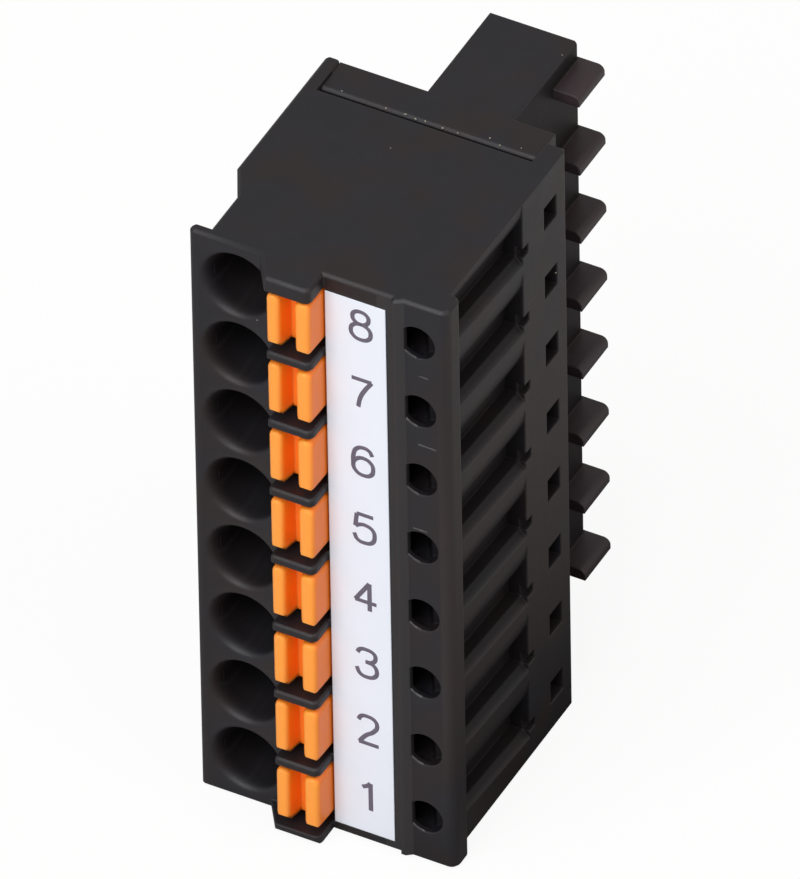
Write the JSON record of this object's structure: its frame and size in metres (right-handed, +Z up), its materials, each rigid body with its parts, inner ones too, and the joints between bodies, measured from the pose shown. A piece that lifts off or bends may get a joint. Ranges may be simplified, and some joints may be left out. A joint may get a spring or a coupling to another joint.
{
  "type": "pluggable terminal block",
  "caption": "Eight-pole push-in terminal block of 3.5 mm pitch, black with orange release levers, that plugs onto a board header.",
  "frame": {"origin": "centre of the footprint of the end wall that the block stands on, at z = 0", "axes": "+X across the block from the wire entries to the side with the coding ribs, +Y from the wire side to the tip of the plug nose, +Z up the row of poles"},
  "size_m": [0.0112, 0.018, 0.0288],
  "materials": {
    "black_plastic": "satin moulded",
    "orange_plastic": "satin moulded",
    "white_plastic": "matt, printed digits",
    "tinned_copper": "tin plated",
    "spring_steel": "rolled strip"
  },
  "bodies": {
    "block": {"housing": "black_plastic", "contact_carrier": "black_plastic", "marker_strip": "white_plastic", "contact_1": "tinned_copper", "contact_2": "tinned_copper", "contact_3": "tinned_copper", "contact_4": "tinned_copper", "contact_5": "tinned_copper", "contact_6": "tinned_copper", "contact_7": "tinned_copper", "contact_8": "tinned_copper", "clamp_spring_1": "spring_steel", "clamp_spring_2": "spring_steel", "clamp_spring_3": "spring_steel", "clamp_spring_4": "spring_steel", "clamp_spring_5": "spring_steel", "clamp_spring_6": "spring_steel", "clamp_spring_7": "spring_steel", "clamp_spring_8": "spring_steel"},
    "lever_1": {"release_lever_1": "orange_plastic"},
    "lever_2": {"release_lever_2": "orange_plastic"},
    "lever_3": {"release_lever_3": "orange_plastic"},
    "lever_4": {"release_lever_4": "orange_plastic"},
    "lever_5": {"release_lever_5": "orange_plastic"},
    "lever_6": {"release_lever_6": "orange_plastic"},
    "lever_7": {"release_lever_7": "orange_plastic"},
    "lever_8": {"release_lever_8": "orange_plastic"}
  },
  "joints": [
    {"name": "lever_1_press", "type": "slide", "parent": "block", "child": "lever_1", "axis": [0, 1, 0], "range_m": [0, 0.0009], "stiffness_N_per_m": 1500, "deforming": ["clamp_spring_1"]},
    {"name": "lever_2_press", "type": "slide", "parent": "block", "child": "lever_2", "axis": [0, 1, 0], "range_m": [0, 0.0009], "stiffness_N_per_m": 1500, "deforming": ["clamp_spring_2"]},
    {"name": "lever_3_press", "type": "slide", "parent": "block", "child": "lever_3", "axis": [0, 1, 0], "range_m": [0, 0.0009], "stiffness_N_per_m": 1500, "deforming": ["clamp_spring_3"]},
    {"name": "lever_4_press", "type": "slide", "parent": "block", "child": "lever_4", "axis": [0, 1, 0], "range_m": [0, 0.0009], "stiffness_N_per_m": 1500, "deforming": ["clamp_spring_4"]},
    {"name": "lever_5_press", "type": "slide", "parent": "block", "child": "lever_5", "axis": [0, 1, 0], "range_m": [0, 0.0009], "stiffness_N_per_m": 1500, "deforming": ["clamp_spring_5"]},
    {"name": "lever_6_press", "type": "slide", "parent": "block", "child": "lever_6", "axis": [0, 1, 0], "range_m": [0, 0.0009], "stiffness_N_per_m": 1500, "deforming": ["clamp_spring_6"]},
    {"name": "lever_7_press", "type": "slide", "parent": "block", "child": "lever_7", "axis": [0, 1, 0], "range_m": [0, 0.0009], "stiffness_N_per_m": 1500, "deforming": ["clamp_spring_7"]},
    {"name": "lever_8_press", "type": "slide", "parent": "block", "child": "lever_8", "axis": [0, 1, 0], "range_m": [0, 0.0009], "stiffness_N_per_m": 1500, "deforming": ["clamp_spring_8"]}
  ]
}
